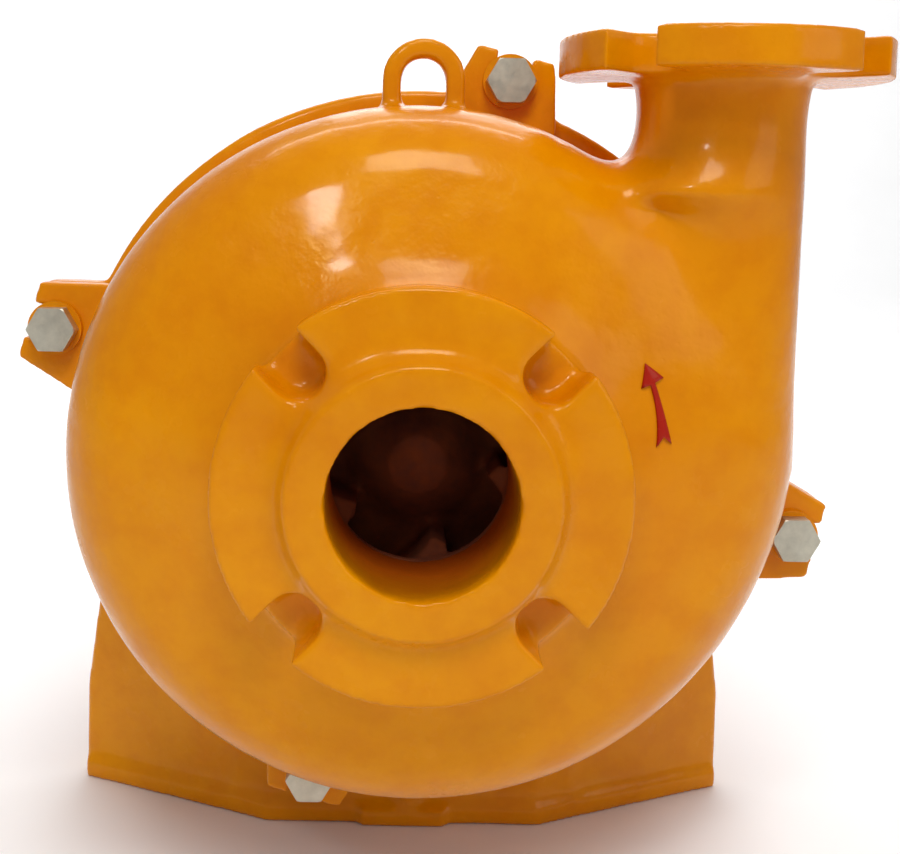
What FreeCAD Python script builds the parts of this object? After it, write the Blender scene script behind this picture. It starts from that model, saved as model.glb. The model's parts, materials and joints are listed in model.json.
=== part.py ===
import FreeCAD, Part
import math
import os
import Sketcher

# Horizontal slurry pump with an unlined hard-metal volute, 3 inch suction and 2 inch discharge.
# The shaft lies along Y. The origin is the centre of the suction raised face, +Y runs to the
# drive end, +X is to the right of somebody who looks into the suction, and +Z is up.

DOC = FreeCAD.newDocument("slurry_pump")
SHEET = DOC.addObject("Spreadsheet::Sheet", "dims")

# Driving dimensions: name, millimetres (degrees where said), meaning.
DIMENSIONS = [
    # suction side of the volute
    ("bore_r", 41.0, "suction bore radius"),
    ("raised_r", 58.8, "raised face radius at its front"),
    ("raised_base_r", 64.5, "raised face radius at the disc"),
    ("disc_front_y", 9.3, "front of the suction disc"),
    ("disc_back_y", 29.0, "back of the suction disc"),
    ("disc_r", 91.5, "suction disc radius"),
    ("disc_slot_pcd_r", 76.0, "pitch radius of the suction bolts"),
    ("disc_slot_w", 24.0, "width of the suction bolt slots"),
    # volute
    ("mid_y", 98.0, "middle plane of the volute and of the discharge"),
    ("volute_r", 169.2, "mean outer radius of the volute just after the tongue"),
    ("volute_gain", 14.4, "growth of the outer radius up to the throat"),
    ("volute_shift", 3.0, "how far the volute sits off the shaft axis"),
    ("volute_round", 48.0, "radius of the rounded volute flank"),
    ("volute_wall", 11.0, "volute wall thickness"),
    ("chamber_front_y", 64.0, "front wall of the impeller chamber"),
    ("chamber_back_y", 132.0, "back wall of the impeller chamber"),
    ("dome_r", 100.0, "radius where the front dome meets the volute flank"),
    ("dome_y", 40.0, "front dome at that radius"),
    ("casing_back_y", 158.0, "back face of the casing"),
    ("seat_r", 164.0, "radius of the machined rear rim"),
    ("casing_open_r", 128.0, "opening at the back of the casing"),
    ("recess_r", 142.0, "recess for the rim of the back liner"),
    ("recess_y", 148.0, "floor of that recess"),
    # discharge branch
    ("neck_x", 142.0, "centre line of the discharge branch"),
    ("neck_r", 41.0, "outer radius of the discharge branch"),
    ("outlet_r", 25.5, "discharge bore radius"),
    ("flange_low_z", 186.5, "underside of the discharge flange"),
    ("flange_top_z", 205.5, "face of the discharge flange"),
    ("flange_r", 78.5, "discharge flange radius"),
    ("flange_pcd_r", 57.0, "pitch radius of the discharge bolts"),
    ("flange_slot_w", 25.0, "width of the discharge bolt slots"),
    # lifting eye
    ("eye_x", -1.0, "lifting eye centre"),
    ("eye_z", 184.5, "lifting eye centre height"),
    ("eye_out_r", 20.3, "lifting eye outer radius"),
    ("eye_in_r", 10.8, "lifting eye hole radius"),
    ("eye_y", 104.0, "front of the lifting eye"),
    ("eye_t", 14.0, "thickness of the lifting eye"),
    # casing ears and frame plate
    ("ear_front_y", 146.0, "front of the casing ears"),
    ("ear_tip", 15.0, "ear tip beyond the bolt"),
    ("ear_tip_w", 20.5, "half width of an ear at its tip"),
    ("ear_root_w", 30.0, "half width of an ear at its root"),
    ("ear_root", 26.0, "depth of the flared part of an ear"),
    ("ear_slot_w", 18.0, "width of the ear slots"),
    ("ear_top_r", 192.6, "top bolt from the shaft axis"),
    ("ear_left_r", 196.6, "left bolt from the shaft axis"),
    ("ear_bottom_r", 189.7, "bottom bolt from the shaft axis"),
    ("ear_right_r", 206.0, "right bolt from the shaft axis"),
    ("plate_front_y", 158.6, "front of the frame plate"),
    ("plate_t", 18.0, "thickness of the frame plate"),
    ("plate_r", 183.5, "frame plate radius"),
    ("plate_hub_r", 62.0, "frame plate bore for the stuffing box"),
    ("liner_front_y", 130.0, "wet face of the back liner"),
    ("liner_back_y", 154.0, "back of the back liner"),
    # fasteners
    ("bolt_r", 7.0, "casing bolt radius"),
    ("bolt_af", 22.0, "casing bolt across flats"),
    ("bolt_head", 9.0, "casing bolt head height"),
    ("washer_r", 14.0, "casing washer radius"),
    ("washer_t", 3.0, "casing washer thickness"),
    ("nut_t", 12.0, "casing nut height"),
    # impeller
    ("eye_front_y", 67.0, "nose of the impeller"),
    ("shroud_y", 70.0, "front of the impeller shroud"),
    ("shroud_t", 8.0, "shroud thickness"),
    ("impeller_r", 107.0, "impeller radius"),
    ("back_shroud_y", 116.0, "front of the impeller back shroud"),
    ("impeller_back_y", 125.0, "back of the impeller back shroud"),
    ("vane_t", 9.0, "vane thickness"),
    ("vane_arc_r", 66.0, "radius of the vane curve"),
    # shaft line
    ("thread_r", 17.0, "shaft in the impeller hub"),
    ("sleeve_seat_r", 24.0, "shaft under the sleeve"),
    ("sleeve_r", 32.0, "shaft sleeve radius"),
    ("sleeve_end_y", 278.0, "drive end of the shaft sleeve"),
    ("bearing_bore_r", 30.0, "shaft at the bearings"),
    ("shaft_mid_r", 35.0, "shaft between the bearings"),
    ("drive_r", 21.0, "shaft at the coupling"),
    ("shaft_end_y", 762.0, "drive end of the shaft"),
    ("key_w", 12.0, "key width"),
    ("key_l", 82.0, "key length"),
    # stuffing box
    ("box_in_r", 42.0, "packing space radius"),
    ("box_out_r", 55.0, "stuffing box barrel radius"),
    ("box_flange_r", 78.0, "stuffing box flange radius"),
    ("box_end_y", 250.0, "open end of the stuffing box"),
    ("packing", 10.0, "packing section"),
    # bearing cartridge
    ("housing_r", 80.0, "bearing housing radius"),
    ("housing_y", 350.0, "pump end of the bearing housing"),
    ("housing_l", 250.0, "length of the bearing housing"),
    ("race_r", 55.0, "bearing outside radius"),
    ("bearing_w", 30.0, "bearing width"),
    ("cover_t", 16.0, "end cover thickness"),
    ("lug_z", -6.0, "underside of the housing lugs"),
    # base
    ("floor_z", -250.0, "underside of the base"),
    ("foot_t", 12.0, "foot thickness"),
    ("foot_front_y", 223.5, "front edge of the foot"),
    ("foot_wing_y", 281.0, "where the swept front edge meets the side"),
    ("foot_nose_w", 80.0, "half width of the straight front edge"),
    ("base_w", 203.0, "half width of the base"),
    ("foot_end_y", 640.0, "rear edge of the foot"),
    ("cheek_x", 102.0, "outside of the base cheeks"),
    ("cheek_t", 14.0, "cheek thickness"),
    ("ring_r", 150.0, "radius of the base ring behind the frame plate"),
    ("trough_r", 116.0, "outside radius of the trough under the gland"),
    ("saddle_front_y", 372.0, "front saddle"),
    ("saddle_rear_y", 556.0, "rear saddle"),
    ("saddle_t", 24.0, "saddle thickness"),
    ("rail_z", -20.0, "underside of the clamping rails"),
    ("hold_r", 9.5, "half width of the hold-down slots"),
]


class Size:
    """A number that also carries the sheet expression it comes from."""

    def __init__(self, value, text):
        self.value = value
        self.text = text

    def join(self, other, sign, value):
        return Size(value, "(" + self.text + sign + sized(other).text + ")")

    def __add__(self, other):
        return self.join(other, " + ", self.value + sized(other).value)

    def __radd__(self, other):
        return sized(other) + self

    def __sub__(self, other):
        return self.join(other, " - ", self.value - sized(other).value)

    def __rsub__(self, other):
        return sized(other) - self

    def __mul__(self, other):
        return self.join(other, " * ", self.value * sized(other).value)

    def __rmul__(self, other):
        return sized(other) * self

    def __truediv__(self, other):
        return self.join(other, " / ", self.value / sized(other).value)

    def __neg__(self):
        return 0 - self


def sized(number):
    """Any number as a Size."""
    if isinstance(number, Size):
        return number
    return Size(float(number), format(number, ".6f"))


class Dims:
    """The sheet's values as attributes."""


D = Dims()


def fill_sheet():
    for row, (name, value, meaning) in enumerate(DIMENSIONS, 1):
        SHEET.set("A%d" % row, meaning)
        SHEET.set("B%d" % row, str(value))
        SHEET.setAlias("B%d" % row, name)
        setattr(D, name, Size(value, "dims." + name))
    DOC.recompute()


fill_sheet()
NODES = []

# Places and counts that the sheet does not hold: angles, hole rows and station numbers.
EARS = [(76.7, D.ear_top_r), (163.7, D.ear_left_r), (254.1, D.ear_bottom_r), (346.7, D.ear_right_r)]
TONGUE = 60.0
SHIFT_TOWARDS = 120.0
SECTIONS = 12
OUTSIDE = sized(0.0)
DIAGONALS = [45.0, 135.0, 225.0, 315.0]
STUD_R = 133.0
LINER_STUD_R = 92.0
BOX_SCREW_R = 70.0
BOX_SCREWS = [60.0, 240.0]
COVER_PCD = 76.0
COVER_ANGLES = [0.0, 60.0, 120.0, 180.0, 240.0, 300.0]
GREASE_Y = (393.0, 557.0)
BEARING_Y = (378.0, 542.0)
CLAMP_X = 118.0
CLAMP_Y = (389.0, 568.0)
LUG_HALF = 22.0
LUG_T = 14.0
LUG_OUT = 136.0
SCREW_Z = -102.0
RING_T = 16.0
APRON_TOP = -38.0
HOLD_DOWN = [(-172.0, 316.0), (172.0, 316.0), (-130.0, 614.0), (130.0, 614.0)]
NOSE_BOSS_X = 2.0
NOSE_BOSS_R = 9.0
GUSSET_Y = (386.0, 570.0)
GUSSET_T = 10.0


# ---------------------------------------------------------------- modelling helpers

def cosine(degrees):
    return math.cos(math.radians(degrees))


def sine(degrees):
    return math.sin(math.radians(degrees))


def new_body(label, exported=True):
    body = DOC.addObject("PartDesign::Body", label)
    body.Label = label
    if exported:
        NODES.append(body)
    return body


def new_sketch(body, role, shift=0.0, turn=None):
    """Sketch on an origin plane of its body, moved along the plane's normal or turned about its u axis."""
    sketch = body.newObject("Sketcher::SketchObject", body.Label + "_sketch")
    plane = [item for item in body.Origin.OriginFeatures if item.Role == role][0]
    sketch.AttachmentSupport = [(plane, "")]
    sketch.MapMode = "FlatFace"
    if turn is not None:
        rotation = FreeCAD.Rotation(FreeCAD.Vector(1, 0, 0), turn)
        sketch.AttachmentOffset = FreeCAD.Placement(FreeCAD.Vector(), rotation)
    sketch.setExpression("AttachmentOffset.Base.z", sized(shift).text)
    return sketch


def front_sketch(body, y):
    """Sketch seen from the suction side (u = X, v = Z) at a distance y along the shaft."""
    return new_sketch(body, "XZ_Plane", -sized(y))


def plan_sketch(body, z):
    """Sketch seen from above (u = X, v = Y) at a height z."""
    return new_sketch(body, "XY_Plane", z)


def side_sketch(body, x):
    """Sketch seen from the left side (u = Y, v = Z) at a distance x."""
    return new_sketch(body, "YZ_Plane", x)


def fix_value(sketch, kind, geometry, point, size):
    """Dimension from the sketch origin to a point, bound to the sheet."""
    size = sized(size)
    if abs(size.value) < 1e-9:
        axis = -2 if kind == "DistanceX" else -1
        sketch.addConstraint(Sketcher.Constraint("PointOnObject", geometry, point, axis))
        return
    index = sketch.addConstraint(Sketcher.Constraint(kind, -1, 1, geometry, point, size.value))
    sketch.setExpression("Constraints[%d]" % index, size.text)


def fix_point(sketch, geometry, point, place):
    fix_value(sketch, "DistanceX", geometry, point, place[0])
    fix_value(sketch, "DistanceY", geometry, point, place[1])


def vector(place):
    return FreeCAD.Vector(sized(place[0]).value, sized(place[1]).value, 0)


def arc_through(start, end, centre, clockwise):
    """Arc between two points about a centre, in the given sense."""
    first = start - centre
    last = end - centre
    angle = math.atan2(first.y, first.x)
    sweep = math.atan2(last.y, last.x) - angle
    if clockwise and sweep > 0:
        sweep -= 2 * math.pi
    if not clockwise and sweep < 0:
        sweep += 2 * math.pi
    half = angle + sweep / 2
    middle = centre + FreeCAD.Vector(math.cos(half), math.sin(half), 0) * first.Length
    return Part.Arc(start, middle, end)


def draw(sketch, steps):
    """Closed outline. A step is (point), a line to it, or (point, centre, clockwise), an arc to it."""
    base = sketch.GeometryCount
    total = len(steps)
    places = [step if len(step) == 2 else step[0] for step in steps]
    for i, step in enumerate(steps):
        start = vector(places[i - 1])
        end = vector(places[i])
        if len(step) == 2:
            sketch.addGeometry(Part.LineSegment(start, end), False)
        else:
            sketch.addGeometry(arc_through(start, end, vector(step[1]), step[2]), False)
    for i, step in enumerate(steps):
        edge = base + i
        # an arc always runs anticlockwise, so its end point is the step's start when it is clockwise
        end_point = 1 if len(step) == 3 and step[2] else 2
        following = base + (i + 1) % total
        next_step = steps[(i + 1) % total]
        start_point = 2 if len(next_step) == 3 and next_step[2] else 1
        sketch.addConstraint(Sketcher.Constraint("Coincident", edge, end_point, following, start_point))
        fix_point(sketch, edge, end_point, places[i])
        if len(step) == 3:
            chord = vector(places[i]) - vector(places[i - 1])
            level = abs(chord.x) > abs(chord.y)
            kind = "DistanceY" if level else "DistanceX"
            fix_value(sketch, kind, edge, 3, step[1][1] if level else step[1][0])


def draw_circle(sketch, centre, radius):
    index = sketch.addGeometry(Part.Circle(vector(centre), FreeCAD.Vector(0, 0, 1), sized(radius).value), False)
    fix_point(sketch, index, 3, centre)
    number = sketch.addConstraint(Sketcher.Constraint("Radius", index, sized(radius).value))
    sketch.setExpression("Constraints[%d]" % number, sized(radius).text)


def draw_rectangle(sketch, u_low, u_high, v_low, v_high):
    draw(sketch, [(u_low, v_low), (u_high, v_low), (u_high, v_high), (u_low, v_high)])


def draw_hexagon(sketch, centre, across):
    corner = across * 0.57735
    spots = []
    for i in range(6):
        spots.append((centre[0] + corner * sine(60 * i + 30), centre[1] + corner * cosine(60 * i + 30)))
    draw(sketch, spots)


def polar(radius, degrees):
    """Point on a circle about the shaft axis, from +X towards +Z."""
    return (radius * cosine(degrees), radius * sine(degrees))


def slot_steps(centre_r, half_width, end_r, degrees, middle=(0.0, 0.0)):
    """Outline of a slot that opens outwards along a radius: round inner end, open outer end."""
    along = (cosine(degrees), sine(degrees))
    across = (-sine(degrees), cosine(degrees))

    def place(r, w):
        return (middle[0] + r * along[0] + w * across[0], middle[1] + r * along[1] + w * across[1])

    round_end = (place(centre_r, -half_width), place(centre_r, 0.0), False)
    return [place(end_r, -half_width), place(end_r, half_width), place(centre_r, half_width), round_end]


def extrude(body, sketch, length, kind, away):
    """Pad or Pocket of a sketch. Away means towards +Y from a front sketch, +Z from a plan sketch."""
    feature = body.newObject("PartDesign::" + kind, body.Label + "_" + kind.lower())
    feature.Profile = sketch
    feature.Refine = False
    feature.setExpression("Length", sized(length).text)
    along_normal = sketch.AttachmentSupport[0][0].Role != "XZ_Plane"
    natural = kind == "Pad"
    feature.Reversed = (away == along_normal) != natural
    return feature


def pad(body, sketch, length, away=True):
    return extrude(body, sketch, length, "Pad", away)


def pocket(body, sketch, length, away=True):
    """Pocket that must remove material; the volume before and after is compared."""
    DOC.recompute()
    before = body.Shape.Volume
    feature = extrude(body, sketch, length, "Pocket", away)
    DOC.recompute()
    if body.Shape.Volume > before - 0.5:
        raise ValueError(body.Label + ": a pocket removes nothing")
    return feature


def turn_about_shaft(body, steps, kind="Revolution", angle=360.0):
    """Revolution or Groove about the shaft axis; the steps are (y, r) points or arcs."""
    sketch = new_sketch(body, "YZ_Plane")
    draw(sketch, steps)
    feature = body.newObject("PartDesign::" + kind, body.Label + "_turned")
    feature.Profile = sketch
    feature.ReferenceAxis = (sketch, ["H_Axis"])
    feature.Refine = False
    feature.Angle = angle
    return feature


def turned(label, steps, exported=True):
    body = new_body(label, exported)
    turn_about_shaft(body, steps)
    return body


def ring(label, y_low, y_high, r_in, r_out):
    return turned(label, [(y_low, r_in), (y_low, r_out), (y_high, r_out), (y_high, r_in)])


def repeat(body, feature, count):
    """Copies of a feature about the shaft axis."""
    pattern = body.newObject("PartDesign::PolarPattern", body.Label + "_pattern")
    pattern.Originals = [feature]
    pattern.Axis = ([item for item in body.Origin.OriginFeatures if item.Role == "Y_Axis"][0], [""])
    pattern.Angle = 360
    pattern.Occurrences = count
    body.Tip = pattern
    return pattern


def drill(body, places, radius, y, length):
    """Round holes along the shaft direction."""
    sketch = front_sketch(body, y)
    for place in places:
        draw_circle(sketch, place, radius)
    return pocket(body, sketch, length)


def group(label, single, places, axis=None, degrees=180.0):
    """Identical loose pieces as one node: copies of one piece, turned if an axis is given, then shifted."""
    DOC.recompute()
    shapes = []
    for place in places:
        copy = single.Shape.copy()
        if axis is not None:
            copy.rotate(FreeCAD.Vector(), FreeCAD.Vector(*axis), degrees)
        copy.translate(FreeCAD.Vector(*[sized(value).value for value in place]))
        shapes.append(copy)
    return compound(label, shapes)


def compound(label, shapes):
    feature = DOC.addObject("Part::Feature", label)
    feature.Label = label
    feature.Shape = Part.makeCompound(shapes)
    feature.Placement = FreeCAD.Placement()
    NODES.append(feature)
    return feature


def slot(sketch, x, y, half_length, radius):
    """Round-ended slot along u."""
    draw(sketch, [
        (x + half_length, y - radius), ((x + half_length, y + radius), (x + half_length, y), False),
        (x - half_length, y + radius), ((x - half_length, y - radius), (x - half_length, y), False)])


def hex_bolt(label, radius, across, head, length):
    """Loose bolt along +Y: its head starts at the origin and its shank ends at head + length."""
    body = new_body(label, False)
    sketch = front_sketch(body, 0.0)
    draw_hexagon(sketch, (0.0, 0.0), across)
    pad(body, sketch, head)
    turn_about_shaft(body, [(0.5, 0.0), (0.5, radius), (head + length - 1.0, radius),
                            (head + length, radius - 1.0), (head + length, 0.0)])
    # the corners of the head are chamfered on the outer face
    turn_about_shaft(body, [(-1.0, across * 0.47), (-1.0, across), (across * 0.3, across)], "Groove")
    return body


def hex_nut(label, radius, across, height):
    body = new_body(label, False)
    sketch = front_sketch(body, 0.0)
    draw_hexagon(sketch, (0.0, 0.0), across)
    pad(body, sketch, height)
    turn_about_shaft(body, [(height + 1.0, across * 0.47), (height + 1.0, across),
                            (height - across * 0.3, across)], "Groove")
    drill(body, [(0.0, 0.0)], radius, -1.0, height + 2.0)
    return body


def loose_ring(label, thickness, r_in, r_out):
    return turned(label, [(0.0, r_in), (0.0, r_out), (thickness, r_out), (thickness, r_in)], False)


def rod(label, radius, length):
    return turned(label, [(0.0, 0.0), (0.0, radius - 1.0), (1.0, radius), (length - 1.0, radius),
                          (length, radius - 1.0), (length, 0.0)], False)


def at_polar(radius, angles, y):
    places = []
    for degrees in angles:
        x, z = polar(sized(radius), degrees)
        places.append((x, y, z))
    return places


# ---------------------------------------------------------------- wet end



def volute_radius(degrees):
    """Outer radius: slow growth after the tongue, fast before the throat, back to none under the branch."""
    turn = (degrees - TONGUE) % 360.0
    full = 360.0 - TONGUE
    growth = (turn / full) ** 6 if turn <= full else (360.0 - turn) / TONGUE
    return D.volute_r + D.volute_gain * growth + D.volute_shift * cosine(degrees - SHIFT_TOWARDS)


def volute_section(body, degrees, wall, front, back):
    """One meridian section of the volute, (y, r), with a rounded flank; wall = 0 is the outside."""
    sketch = new_sketch(body, "YZ_Plane", 0.0, 90.0 - degrees)
    top = volute_radius(degrees) - wall
    flank = D.volute_round - wall
    centre = (D.mid_y, top - flank)
    crown = (D.mid_y, top)
    if wall is OUTSIDE:
        shoulder = (D.mid_y - flank * cosine(18.5), top - flank + flank * sine(18.5))
        heel = (D.mid_y + flank * sine(42.0), top - flank + flank * cosine(42.0))
        steps = [(D.dome_y, D.dome_r), shoulder, (crown, centre, True), (heel, centre, True)]
        steps += [(back, heel[1]), (back, D.dome_r)]
    else:
        shoulder = (front, top - flank)
        heel = (back, top - flank)
        steps = [(front, D.dome_r - 30.0), shoulder, (crown, centre, True), (heel, centre, True)]
        steps += [(back, D.dome_r - 30.0)]
    draw(sketch, steps)
    return sketch


def volute_loft(body, kind, wall, front, back):
    sections = []
    for i in range(SECTIONS):
        sections.append(volute_section(body, 360.0 * i / SECTIONS, wall, front, back))
    loft = body.newObject("PartDesign::" + kind, body.Label + "_volute")
    loft.Profile = sections[0]
    loft.Sections = sections[1:]
    loft.Closed = True
    loft.Refine = False
    return loft


def ear_steps(degrees, bolt_r, root_r):
    """Outline of a slotted ear on a radius: parallel tip, flared root."""
    along = (cosine(degrees), sine(degrees))
    across = (-sine(degrees), cosine(degrees))

    def place(r, w):
        return (r * along[0] + w * across[0], r * along[1] + w * across[1])

    tip = bolt_r + D.ear_tip
    flare = bolt_r - D.ear_root + 8.0
    right = [place(root_r, -D.ear_root_w), place(flare, -D.ear_root_w), place(tip, -D.ear_tip_w)]
    left = [place(tip, D.ear_tip_w), place(flare, D.ear_root_w), place(root_r, D.ear_root_w)]
    return right + left


def add_ears(body, y, thickness, root_r):
    for degrees, bolt_r in EARS:
        sketch = front_sketch(body, y)
        draw(sketch, ear_steps(degrees, bolt_r, root_r))
        pad(body, sketch, thickness)


def slot_ears(body, y, thickness):
    for degrees, bolt_r in EARS:
        sketch = front_sketch(body, y)
        draw(sketch, slot_steps(bolt_r - 1.0, D.ear_slot_w / 2, bolt_r + D.ear_tip + 5.0, degrees))
        pocket(body, sketch, thickness)


def branch_flare(body):
    """The branch widens towards the volute; its outer side stays upright."""
    rings = []
    for z, widening in ((158.0, 0.0), (150.0, 1.5), (142.0, 4.8), (130.0, 12.0)):
        sketch = plan_sketch(body, z)
        draw_circle(sketch, (D.neck_x - widening, D.mid_y), D.neck_r + widening)
        rings.append(sketch)
    loft = body.newObject("PartDesign::AdditiveLoft", body.Label + "_flare")
    loft.Profile = rings[0]
    loft.Sections = rings[1:]
    loft.Refine = False


def volute_casing():
    body = new_body("volute_casing")
    volute_loft(body, "AdditiveLoft", OUTSIDE, D.dome_y, D.casing_back_y - 8.0)
    # front dome, suction disc and raised face
    turn_about_shaft(body, [
        (0.0, 20.0), (0.0, D.raised_r), (D.disc_front_y, D.raised_base_r),
        (D.disc_front_y, D.disc_r), (D.disc_back_y, D.disc_r), (D.disc_back_y + 3.0, D.disc_r - 8.0),
        (D.dome_y - 0.5, D.dome_r), (D.dome_y + 3.0, D.dome_r + 8.0), (D.ear_front_y - 3.0, D.dome_r + 8.0),
        (D.ear_front_y - 3.0, D.seat_r), (D.casing_back_y, D.seat_r), (D.casing_back_y, 20.0)])
    # discharge branch and its flange
    branch = plan_sketch(body, 0.0)
    draw_circle(branch, (D.neck_x, D.mid_y), D.neck_r)
    pad(body, branch, D.flange_low_z + 1.0)
    branch_flare(body)
    flange = plan_sketch(body, D.flange_low_z)
    draw_circle(flange, (D.neck_x, D.mid_y), D.flange_r)
    pad(body, flange, D.flange_top_z - D.flange_low_z)
    # lifting eye
    eye = front_sketch(body, D.eye_y)
    foot_z = D.volute_r - 8.0
    draw(eye, [
        (D.eye_x - D.eye_out_r, foot_z), (D.eye_x - D.eye_out_r, D.eye_z),
        ((D.eye_x + D.eye_out_r, D.eye_z), (D.eye_x, D.eye_z), True), (D.eye_x + D.eye_out_r, foot_z)])
    pad(body, eye, D.eye_t)
    add_ears(body, D.ear_front_y, D.casing_back_y - D.ear_front_y, D.volute_r - 30.0)
    # hollow: volute passage, impeller chamber, suction bore, rear opening with its recess
    volute_loft(body, "SubtractiveLoft", D.volute_wall, D.chamber_front_y, D.chamber_back_y)
    turn_about_shaft(body, [
        (-1.0, 0.0), (-1.0, D.bore_r), (D.chamber_front_y, D.bore_r), (D.chamber_front_y, D.dome_r),
        (D.chamber_back_y, D.casing_open_r), (D.recess_y, D.casing_open_r), (D.recess_y, D.recess_r),
        (D.casing_back_y + 1.0, D.recess_r), (D.casing_back_y + 1.0, 0.0)], "Groove")
    outlet = plan_sketch(body, 10.0)
    draw_circle(outlet, (D.neck_x, D.mid_y), D.outlet_r)
    pocket(body, outlet, D.flange_top_z)
    # suction slots, discharge slots, eye hole, ear slots
    for k in range(4):
        groove = front_sketch(body, D.disc_front_y - 1.0)
        draw(groove, slot_steps(D.disc_slot_pcd_r, D.disc_slot_w / 2, D.disc_r + 5.0, 45.0 + 90.0 * k))
        pocket(body, groove, D.disc_back_y - D.disc_front_y + 2.0)
        notch = plan_sketch(body, D.flange_low_z - 1.0)
        middle = (D.neck_x, D.mid_y)
        draw(notch, slot_steps(D.flange_pcd_r + 2.0, D.flange_slot_w / 2, D.flange_r + 5.0, 45.0 + 90.0 * k, middle))
        pocket(body, notch, D.flange_top_z - D.flange_low_z + 2.0)
    hole = front_sketch(body, D.eye_y - 1.0)
    draw(hole, [
        (D.eye_x - D.eye_in_r, D.volute_r + 1.0), (D.eye_x - D.eye_in_r, D.eye_z),
        ((D.eye_x + D.eye_in_r, D.eye_z), (D.eye_x, D.eye_z), True), (D.eye_x + D.eye_in_r, D.volute_r + 1.0)])
    pocket(body, hole, D.eye_t + 2.0)
    slot_ears(body, D.ear_front_y - 1.0, D.casing_back_y - D.ear_front_y + 2.0)
    return body


def plate_back():
    return D.plate_front_y + D.plate_t


def frame_plate():
    body = new_body("frame_plate")
    spigot_y = D.liner_back_y + 0.2
    turn_about_shaft(body, [
        (spigot_y, D.plate_hub_r), (spigot_y, D.recess_r - 0.5), (D.plate_front_y, D.recess_r - 0.5),
        (D.plate_front_y, D.plate_r - 2.0), (D.plate_front_y + 2.0, D.plate_r), (plate_back() - 2.0, D.plate_r),
        (plate_back(), D.plate_r - 2.0), (plate_back(), D.plate_hub_r)])
    add_ears(body, D.plate_front_y, D.plate_t, D.volute_r - 20.0)
    slot_ears(body, D.plate_front_y - 1.0, D.plate_t + 2.0)
    drill(body, [polar(sized(STUD_R), a) for a in DIAGONALS], D.bolt_r + 0.2, D.plate_front_y + 3.0, D.plate_t)
    drill(body, [polar(sized(LINER_STUD_R), a) for a in DIAGONALS], 6.2, spigot_y - 1.0, D.plate_t + 10.0)
    drill(body, [polar(sized(BOX_SCREW_R), a) for a in BOX_SCREWS], 5.1, D.plate_front_y + 3.0, D.plate_t)
    return body


def casing_gasket():
    return ring("casing_gasket", D.casing_back_y, D.plate_front_y, D.recess_r + 0.5, D.seat_r - 0.5)


def back_liner():
    """Wearing plate behind the impeller, held by its rim in the recess of the casing."""
    return turned("back_liner", [
        (D.liner_front_y, 38.0), (D.liner_front_y, D.casing_open_r - 0.5),
        (D.recess_y + 0.2, D.casing_open_r - 0.5), (D.recess_y + 0.2, D.recess_r - 0.5),
        (D.liner_back_y, D.recess_r - 0.5), (D.liner_back_y, 38.0)])


def ear_places(y):
    return [(bolt_r * cosine(degrees), y, bolt_r * sine(degrees)) for degrees, bolt_r in EARS]


def casing_fasteners():
    head_y = D.ear_front_y - D.washer_t - D.bolt_head
    grip = D.washer_t + plate_back() - D.ear_front_y + D.nut_t + 4.0
    bolt = hex_bolt("casing_bolt", D.bolt_r, D.bolt_af, D.bolt_head, grip)
    nut = hex_nut("casing_nut", D.bolt_r, D.bolt_af, D.nut_t)
    washer = loose_ring("casing_washer", D.washer_t, D.bolt_r + 0.5, D.washer_r)
    group("casing_bolts", bolt, ear_places(head_y))
    group("casing_washers", washer, ear_places(D.ear_front_y - D.washer_t))
    group("casing_nuts", nut, ear_places(plate_back()))
    stud = rod("plate_stud", D.bolt_r, 46.0)
    group("frame_plate_studs", stud, at_polar(STUD_R, DIAGONALS, D.plate_front_y + 3.2))
    group("frame_plate_nuts", nut, at_polar(STUD_R, DIAGONALS, plate_back() + RING_T))
    liner_stud = rod("liner_stud", sized(6.0), 36.0)
    liner_nut = hex_nut("liner_nut", sized(6.0), sized(19.0), sized(10.0))
    group("liner_studs", liner_stud, at_polar(LINER_STUD_R, DIAGONALS, D.liner_back_y))
    group("liner_nuts", liner_nut, at_polar(LINER_STUD_R, DIAGONALS, plate_back()))


# ---------------------------------------------------------------- rotor

def vane_steps():
    """One backward-curved vane of even thickness: two arcs about a common centre."""
    centre = (-11.6, -45.7)
    start, stop = 43.9, -54.5
    outer = D.vane_arc_r + D.vane_t / 2
    inner = D.vane_arc_r - D.vane_t / 2

    def place(radius, degrees):
        return (centre[0] + radius * cosine(degrees), centre[1] + radius * sine(degrees))

    back = (place(outer, stop), centre, True)
    front = (place(inner, start), centre, False)
    return [place(outer, start), back, place(inner, stop), front]


def impeller():
    body = new_body("impeller")
    # hub and back shroud; the blind hole takes the threaded end of the shaft
    turn_about_shaft(body, [
        (80.0, 0.0), (83.0, 14.0), (94.0, 24.0), (108.0, 36.0), (D.back_shroud_y, 56.0),
        (D.back_shroud_y, D.impeller_r), (D.impeller_back_y, D.impeller_r), (D.impeller_back_y, 34.0),
        (D.impeller_back_y + 1.2, 34.0), (D.impeller_back_y + 1.2, D.thread_r), (88.0, D.thread_r), (88.0, 0.0)])
    vane = front_sketch(body, D.shroud_y + 4.0)
    draw(vane, vane_steps())
    repeat(body, pad(body, vane, D.back_shroud_y - D.shroud_y - 3.0), 5)
    turn_about_shaft(body, [
        (D.eye_front_y, 42.0), (D.eye_front_y, 50.0), (D.shroud_y + 1.0, 58.0), (D.shroud_y + 2.0, D.impeller_r),
        (D.shroud_y + 2.0 + D.shroud_t, D.impeller_r), (D.shroud_y + 2.0 + D.shroud_t, 62.0),
        (D.shroud_y + 6.0, 48.0), (D.shroud_y + 3.0, 42.0)])
    # pump-out ribs on the back
    rib = front_sketch(body, D.impeller_back_y - 1.0)
    draw_rectangle(rib, 45.0, D.impeller_r - 2.0, -3.0, 3.0)
    repeat(body, pad(body, rib, 4.0), 6)
    return body


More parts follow.
